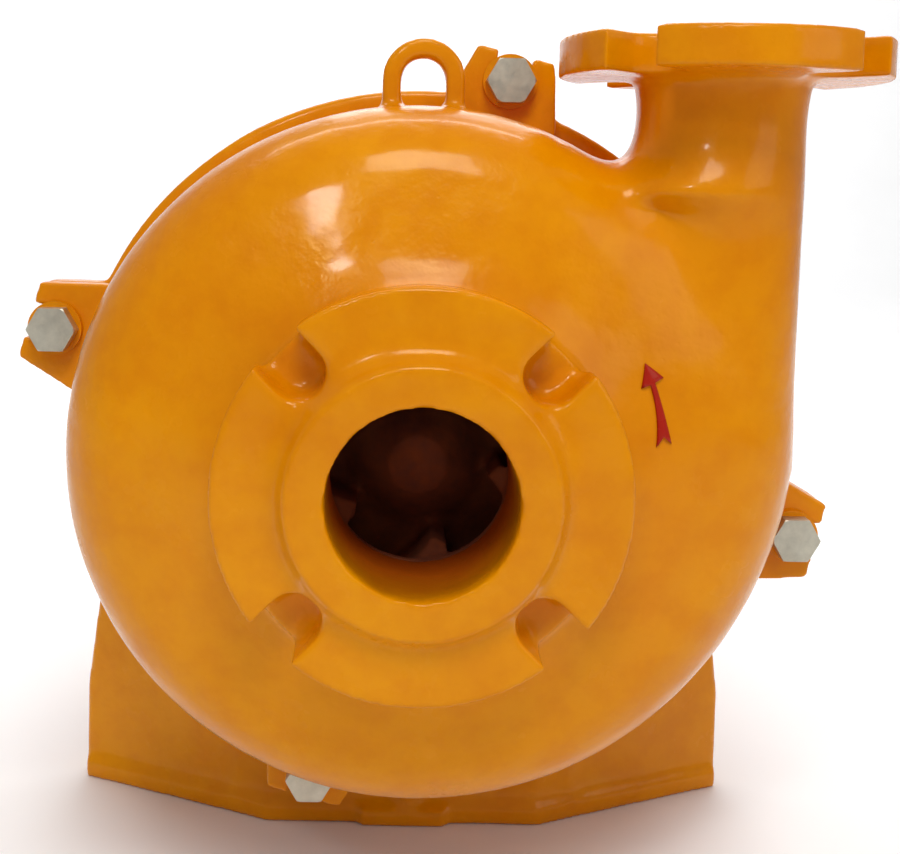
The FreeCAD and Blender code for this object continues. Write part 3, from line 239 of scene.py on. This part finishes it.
def turned_steel(name, colour, rough):
    """Lathe-turned steel: fine rings along the shaft and a thin oil stain."""
    s = Shader(name)
    rings = s.noise(300.0, 2.0, 0.5, 0.0, (0.06, 1.0, 0.06))
    stain = s.noise(14.0, 4.0, 0.6)
    dark = tuple(0.55 * c for c in colour)
    s.link(s.ramp(stain, [(0.30, dark), (0.62, colour)]), s.bsdf.inputs["Base Color"])
    s.link(s.span(rings, 0.3, 0.7, rough, rough + 0.15), s.bsdf.inputs["Roughness"])
    s.bump(rings, 0.5, 0.05)
    s.fixed(Metallic=1.0)
    return s.done()


def raw_casting(name, dark, light, rough=0.7, metal=0.3):
    """Unpainted hard iron: granular skin with rust bloom."""
    s = Shader(name)
    bloom = s.noise(30.0, 5.0, 0.65)
    s.link(s.ramp(bloom, [(0.34, dark), (0.68, light)]), s.bsdf.inputs["Base Color"])
    s.link(s.span(s.noise(120.0, 4.0, 0.6), 0.3, 0.7, rough - 0.1, rough + 0.15), s.bsdf.inputs["Roughness"])
    s.bump(s.noise(260.0, 4.0, 0.65), 0.7, 0.25)
    s.bump(s.noise(40.0, 3.0, 0.6), 0.4, 0.8)
    s.fixed(Metallic=metal)
    return s.done()


def soft(name, dark, light, rough, grain, depth_mm):
    """Rubber, gasket sheet or packing: even colour with a fine grain."""
    s = Shader(name)
    s.link(s.ramp(s.noise(35.0, 4.0, 0.6), [(0.35, dark), (0.65, light)]), s.bsdf.inputs["Base Color"])
    s.link(s.span(s.noise(90.0, 3.0, 0.6), 0.3, 0.7, rough, min(rough + 0.12, 1.0)), s.bsdf.inputs["Roughness"])
    s.bump(s.noise(grain, 3.0, 0.6), 0.5, depth_mm)
    return s.done()


BORE_R = 41.0
LIT = (0.82, 0.300, 0.0)
DEEP = (0.71, 0.228, 0.0)
RED = (0.52, 0.016, 0.008)
FINISH = {
    "yellow_enamel": enamel("yellow_enamel", LIT, DEEP),
    "painted_hardware": enamel("painted_hardware", LIT, DEEP, 0.26),
    "red_enamel": enamel("red_enamel", RED, tuple(0.7 * c for c in RED), 0.24),
    "zinc_bolts": plated("zinc_bolts", (0.70, 0.66, 0.54), 0.36),
    "zinc_hardware": plated("zinc_hardware", (0.60, 0.59, 0.54), 0.32),
    "machined_steel": turned_steel("machined_steel", (0.62, 0.61, 0.59), 0.24),
    "bearing_steel": turned_steel("bearing_steel", (0.70, 0.70, 0.71), 0.14),
    "labyrinth_iron": turned_steel("labyrinth_iron", (0.40, 0.39, 0.37), 0.38),
    "wear_iron": raw_casting("wear_iron", (0.14, 0.028, 0.008), (0.34, 0.085, 0.022), 0.85, 0.0),
    "gasket_rubber": soft("gasket_rubber", (0.018, 0.018, 0.018), (0.045, 0.043, 0.040), 0.75, 260.0, 0.08),
    "black_rubber": soft("black_rubber", (0.012, 0.012, 0.012), (0.035, 0.034, 0.033), 0.55, 300.0, 0.06),
    "packing_fibre": soft("packing_fibre", (0.030, 0.027, 0.022), (0.14, 0.125, 0.10), 0.8, 420.0, 0.25),
    "brass_fittings": plated("brass_fittings", (0.72, 0.50, 0.20), 0.28),
}


def paint(piece, material):
    piece.data.materials.clear()
    piece.data.materials.append(material)


# ---------------------------------------------------------------- castings

def neighbours(mesh):
    """Half edges of a mesh as two index arrays, and the number of them at each vertex."""
    edges = np.empty(len(mesh.edges) * 2, np.int32)
    mesh.edges.foreach_get("vertices", edges)
    edges = edges.reshape(-1, 2)
    start = np.concatenate([edges[:, 0], edges[:, 1]])
    end = np.concatenate([edges[:, 1], edges[:, 0]])
    count = np.bincount(start, minlength=len(mesh.vertices)).astype(float)
    return start, end, count


def average(values, links, size):
    start, end, count = links
    total = np.empty((size, 3))
    for k in range(3):
        total[:, k] = np.bincount(start, weights=values[end, k], minlength=size)
    return total / count[:, None]


def point_array(mesh):
    co = np.empty(len(mesh.vertices) * 3)
    mesh.vertices.foreach_get("co", co)
    return co.reshape(-1, 3)


def normal_array(mesh):
    no = np.empty(len(mesh.vertices) * 3)
    mesh.vertices.foreach_get("normal", no)
    return no.reshape(-1, 3)


def remeshed(node, voxel_mm):
    """Copy of a CAD node with an even skin of small faces."""
    piece = bpy.data.objects.new(node + "_cast", NODES[node].data.copy())
    bpy.context.scene.collection.objects.link(piece)
    modifier = piece.modifiers.new("even", "REMESH")
    modifier.mode = "VOXEL"
    modifier.voxel_size = voxel_mm * MM
    modifier.adaptivity = 0.0
    modifier.use_smooth_shade = True
    graph = bpy.context.evaluated_depsgraph_get()
    mesh = bpy.data.meshes.new_from_object(piece.evaluated_get(graph))
    piece.modifiers.clear()
    piece.data = mesh
    return piece


def soften(piece, rounds, fill_rounds=0, fill_weight=None, melt_rounds=0, melt_weight=None):
    """Rounds all edges a little, fills hollows as a casting's fillets do, then melts what a pattern maker blends."""
    mesh = piece.data
    links = neighbours(mesh)
    size = len(mesh.vertices)
    co = point_array(mesh)
    for i in range(rounds):
        co += 0.5 * (average(co, links, size) - co)
        co -= 0.35 * (average(co, links, size) - co)
    if fill_rounds:
        mesh.vertices.foreach_set("co", co.ravel())
        mesh.update()
        weight = fill_weight(co) if fill_weight else np.ones(size)
        for i in range(fill_rounds):
            if i % 8 == 0:
                mesh.vertices.foreach_set("co", co.ravel())
                mesh.update()
                normal = normal_array(mesh)
            step = average(co, links, size) - co
            outward = np.einsum("ij,ij->i", step, normal)
            co += step * (outward > 0)[:, None] * (0.5 * weight)[:, None]
    if melt_rounds:
        weight = melt_weight(co)
        for i in range(melt_rounds):
            co += (0.5 * weight)[:, None] * (average(co, links, size) - co)
    mesh.vertices.foreach_set("co", co.ravel())
    mesh.update()
    for polygon in mesh.polygons:
        polygon.use_smooth = True


def weather(piece):
    """Uneven skin of a sand casting: long and short waves, always inwards from the pattern's surface."""
    mesh = piece.data
    co = point_array(mesh)
    normal = normal_array(mesh)
    depth = np.zeros(len(co))
    for length_mm, height_mm in ((46.0, 0.42), (13.0, 0.16)):
        scale = 1.0 / (length_mm * MM)
        wave = np.fromiter((noise.noise(Vector(point) * scale) for point in co), float, len(co))
        depth += height_mm * MM * np.clip(0.5 + 0.7 * wave, 0.0, 1.0)
    co -= normal * depth[:, None]
    mesh.vertices.foreach_set("co", co.ravel())
    mesh.update()


def casting(node, voxel_mm, rounds, fill_rounds=0, fill_weight=None, material="yellow_enamel", melt=(0, None)):
    piece = remeshed(node, voxel_mm)
    soften(piece, rounds, fill_rounds, fill_weight, *melt)
    weather(piece)
    paint(piece, FINISH[material])
    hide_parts(node)
    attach(piece, BODY_OF[node])
    return piece


NECK = (142.0 * MM, 98.0 * MM)


def casing_fill(co):
    """Large fillets where the discharge branch leaves the volute; small ones elsewhere."""
    weight = np.full(len(co), 0.25)
    away = np.hypot(co[:, 0] - NECK[0], co[:, 1] - NECK[1])
    branch = (co[:, 2] > 0.03) & (co[:, 2] < 0.175) & (away < 0.085) & (away > 0.030)
    weight[branch] = 1.0
    return weight


def fade(value, low, high):
    """0 below low, 1 above high, smooth between."""
    t = np.clip((value - low) / (high - low), 0.0, 1.0)
    return t * t * (3.0 - 2.0 * t)


def branch_melt(co):
    """Full where the branch runs into the volute, none on the flange, the disc, the rear rim and the passages."""
    x, y, z = co[:, 0], co[:, 1], co[:, 2]
    away = np.hypot(x - NECK[0], y - NECK[1])
    off_disc = fade(np.hypot(x, z), 0.100, 0.118)
    skin = fade(away, 0.031, 0.036) * off_disc * (1.0 - fade(y, 0.128, 0.140))
    return skin * fade(x, 0.050, 0.085) * fade(z, 0.015, 0.045) * (1.0 - fade(z, 0.172, 0.182))


casing = casting("volute_casing", 1.7, 6, 120, casing_fill, "yellow_enamel", (170, branch_melt))
casting("frame_plate", 2.0, 5)
casting("base_frame", 2.4, 5, 20)
casting("bearing_housing", 2.0, 5, 10)
casting("stuffing_box", 1.8, 4)
casting("gland_half_right", 1.4, 3)
casting("gland_half_left", 1.4, 3)
casting("pump_end_cover", 1.8, 3)
casting("drive_end_cover", 1.8, 3)
casting("impeller", 1.6, 4, 10, None, "wear_iron")

for name, node in NODES.items():
    if not node.hide_render:
        paint(node, FINISH[SLOT_OF[name]])


# ---------------------------------------------------------------- arrow that shows the sense of rotation

ARROW_TIP = (114.2, 29.7)
ARROW_TAIL = (110.7, 10.2)
HEAD_L, HEAD_W, NECK_W, TAIL_W, NOTCH = 9.5, 11.5, 2.6, 7.4, 4.0
ARROW_H = 1.3
ACROSS = (-1.0, -0.72, 0.0, 0.72, 1.0)


def new_piece(name, points, faces, material, body):
    mesh = bpy.data.meshes.new(name)
    mesh.from_pydata(points, [], faces)
    mesh.validate()
    for polygon in mesh.polygons:
        polygon.use_smooth = True
    piece = bpy.data.objects.new(name, mesh)
    bpy.context.scene.collection.objects.link(piece)
    paint(piece, FINISH[material])
    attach(piece, body)
    return piece


def arrow_rows(length):
    """Distance from the tip and half width of each row: the head, the neck, the widening tail."""
    rows = [(0.3, 0.25)]
    for i in range(1, 6):
        rows.append((HEAD_L * i / 5, HEAD_W / 2 * i / 5))
    rows.append((HEAD_L + 0.3, NECK_W / 2))
    for i in range(1, 15):
        t = i / 14
        rows.append((HEAD_L + 0.3 + (length - HEAD_L - 0.3) * t, (NECK_W + (TAIL_W - NECK_W) * t * t) / 2))
    return rows


def relief_arrow():
    """Cast arrow standing out of the dome, laid on the casing along a gentle curve about the shaft."""
    skin = BVHTree.FromPolygons([v.co for v in casing.data.vertices], [p.vertices for p in casing.data.polygons])
    tip_r, tip_a = ARROW_TIP
    tail_r, tail_a = ARROW_TAIL
    length = math.hypot(tip_r - tail_r, math.radians(tip_a - tail_a) * (tip_r + tail_r) / 2)
    top, low, faces = [], [], []
    for distance, half in arrow_rows(length):
        for c in ACROSS:
            notch = NOTCH * (1.0 - abs(c)) * max(0.0, distance / length - 0.8) / 0.2
            t = (distance - notch) / length
            angle = math.radians(tip_a + (tail_a - tip_a) * t)
            radius = tip_r + (tail_r - tip_r) * t + half * c
            x, z = radius * math.cos(angle) * MM, radius * math.sin(angle) * MM
            hit = skin.ray_cast(Vector((x, -0.1, z)), Vector((0.0, 1.0, 0.0)))[0]
            rise = ARROW_H * (0.45 if abs(c) == 1.0 else 1.0) * MM
            top.append((x, hit.y - rise, z))
            low.append((x, hit.y + 0.8 * MM, z))
    wide = len(ACROSS)
    rows = len(top) // wide
    shift = len(top)
    for i in range(rows - 1):
        for j in range(wide - 1):
            a = i * wide + j
            faces.append((a, a + 1, a + wide + 1, a + wide))
            faces.append((a + shift, a + wide + shift, a + wide + 1 + shift, a + 1 + shift))
    border = list(range(wide)) + [i * wide + wide - 1 for i in range(1, rows)]
    border += [(rows - 1) * wide + j for j in range(wide - 2, -1, -1)] + [i * wide for i in range(rows - 2, 0, -1)]
    for a, b in zip(border, border[1:] + border[:1]):
        faces.append((b, a, a + shift, b + shift))
    new_piece("rotation_arrow", top + low, faces, "red_enamel", "pump")


relief_arrow()


# ---------------------------------------------------------------- threads on the ends of bolts and studs

# node, axis along the bolt, thread radius, pitch and threaded length, all in mm
THREADS = (
    ("casing_bolts", 1, 7.0, 2.0, 14.0),
    ("frame_plate_studs", 1, 7.0, 2.0, 14.0),
    ("liner_studs", 1, 6.0, 1.75, 13.0),
    ("gland_studs", 1, 5.0, 1.5, 38.0),
    ("adjusting_screw", 1, 8.0, 2.0, 160.0),
    ("clamp_bolts", 2, 8.0, 2.0, 26.0),
)
THREAD_H = 0.42
SIDES = 24
STEPS_PER_TURN = 8


def loose_boxes(node):
    """Lowest and highest corner of each separate piece of a node."""
    mesh = NODES[node].data
    co = point_array(mesh)
    # corners that share a place count as one, because the faces of a CAD mesh are not joined
    spot = np.unique(np.round(co, 6), axis=0, return_inverse=True)[1].ravel()
    owner = np.arange(spot.max() + 1)
    edges = np.empty(len(mesh.edges) * 2, np.int32)
    mesh.edges.foreach_get("vertices", edges)
    a, b = spot[edges].reshape(-1, 2).T
    while True:
        low = np.minimum(owner[a], owner[b])
        if (owner[a] == low).all() and (owner[b] == low).all():
            break
        np.minimum.at(owner, a, low)
        np.minimum.at(owner, b, low)
    piece = owner[spot]
    return [(co[piece == k].min(0), co[piece == k].max(0)) for k in np.unique(piece)]


def thread_rows(radius, pitch, length):
    """(distance along the bolt, radius at each side) of a closed sleeve with one helical ridge."""
    rows = []
    count = int(length / pitch * STEPS_PER_TURN)
    for i in range(count + 1):
        along = length * i / count
        run_out = min(1.0, along / pitch, (length - along) / pitch)
        ridge = []
        for k in range(SIDES):
            phase = (along / pitch - k / SIDES) % 1.0
            ridge.append(radius + 0.02 + THREAD_H * run_out * (1.0 - abs(2.0 * phase - 1.0)))
        rows.append((along, ridge))
    inner = [radius - 0.8] * SIDES
    return rows + [(length, inner), (0.0, inner)]


def cut_thread(node, axis, radius, pitch, length):
    points, faces = [], []
    u, v = [k for k in range(3) if k != axis]
    for low, high in loose_boxes(node):
        start = len(points)
        rows = thread_rows(radius, pitch, length)
        for along, ridge in rows:
            for k, r in enumerate(ridge):
                angle = 2.0 * math.pi * k / SIDES
                point = [0.0, 0.0, 0.0]
                point[axis] = high[axis] - (length + 1.0 - along) * MM
                point[u] = (low[u] + high[u]) / 2 + r * MM * math.cos(angle)
                point[v] = (low[v] + high[v]) / 2 + r * MM * math.sin(angle)
                points.append(tuple(point))
        for i in range(len(rows)):
            ahead = (i + 1) % len(rows)
            for k in range(SIDES):
                side = (k + 1) % SIDES
                corners = (i * SIDES + k, i * SIDES + side, ahead * SIDES + side, ahead * SIDES + k)
                faces.append(tuple(start + c for c in corners))
    piece = new_piece(node + "_threads", points, faces, SLOT_OF[node], BODY_OF[node])
    shape = bmesh.new()
    shape.from_mesh(piece.data)
    bmesh.ops.recalc_face_normals(shape, faces=shape.faces)
    shape.to_mesh(piece.data)
    shape.free()


for facts in THREADS:
    cut_thread(*facts)


# ---------------------------------------------------------------- floor and light

FLOOR_Z = CAD_BOX[0][2]


def make_floor():
    """Pale sweep: floor, a wide bend and a wall behind the object."""
    bend_y, bend_r, top_z = 3.0, 0.9, 3.2
    profile = [(-3.0, FLOOR_Z)]
    for i in range(17):
        angle = math.radians(90.0 * i / 16)
        profile.append((bend_y + bend_r * math.sin(angle), FLOOR_Z + bend_r * (1.0 - math.cos(angle))))
    profile.append((bend_y + bend_r, top_z))
    points = [(x, y, z) for y, z in profile for x in (-5.0, 5.0)]
    faces = [(2 * i, 2 * i + 1, 2 * i + 3, 2 * i + 2) for i in range(len(profile) - 1)]
    mesh = bpy.data.meshes.new("sweep")
    mesh.from_pydata(points, [], faces)
    for polygon in mesh.polygons:
        polygon.use_smooth = True
    floor = bpy.data.objects.new("sweep", mesh)
    bpy.context.scene.collection.objects.link(floor)
    s = Shader("floor_paint")
    s.link(s.ramp(s.noise(3.0, 3.0), [(0.3, (0.90, 0.90, 0.90)), (0.7, (0.93, 0.93, 0.93))]), s.bsdf.inputs["Base Color"])
    s.fixed(Roughness=0.7)
    paint(floor, s.done())


def area_light(name, place, target, size, watts, colour=(1.0, 1.0, 1.0)):
    data = bpy.data.lights.new(name, "AREA")
    data.shape = "RECTANGLE"
    data.size, data.size_y = size
    data.energy = watts
    data.color = colour
    light = bpy.data.objects.new(name, data)
    bpy.context.scene.collection.objects.link(light)
    light.location = place
    light.rotation_euler = (Vector(target) - Vector(place)).to_track_quat("-Z", "Y").to_euler()


def make_light():
    area_light("key", (0.05, -1.2, 1.8), (0.0, 0.1, 0.0), (0.8, 0.8), 22.5, (1.0, 0.99, 0.96))
    area_light("glint", (-0.45, -1.2, 0.95), (0.0, 0.1, 0.05), (0.12, 0.12), 2.2)
    area_light("fill", (1.5, -1.0, 0.8), (0.0, 0.1, 0.0), (1.0, 1.0), 4.5, (0.97, 0.98, 1.0))
    area_light("rear", (0.3, 1.9, 1.6), (0.0, 0.3, 0.0), (1.6, 1.2), 13.0)
    area_light("wall", (0.0, 1.2, 2.6), (0.0, 3.9, 0.6), (3.0, 0.8), 100.0)
    world = bpy.data.worlds.new("studio")
    bpy.context.scene.world = world
    world.use_nodes = True
    world.node_tree.nodes["Background"].inputs["Color"].default_value = (0.98, 0.98, 1.0, 1.0)
    world.node_tree.nodes["Background"].inputs["Strength"].default_value = 0.30


make_floor()
make_light()
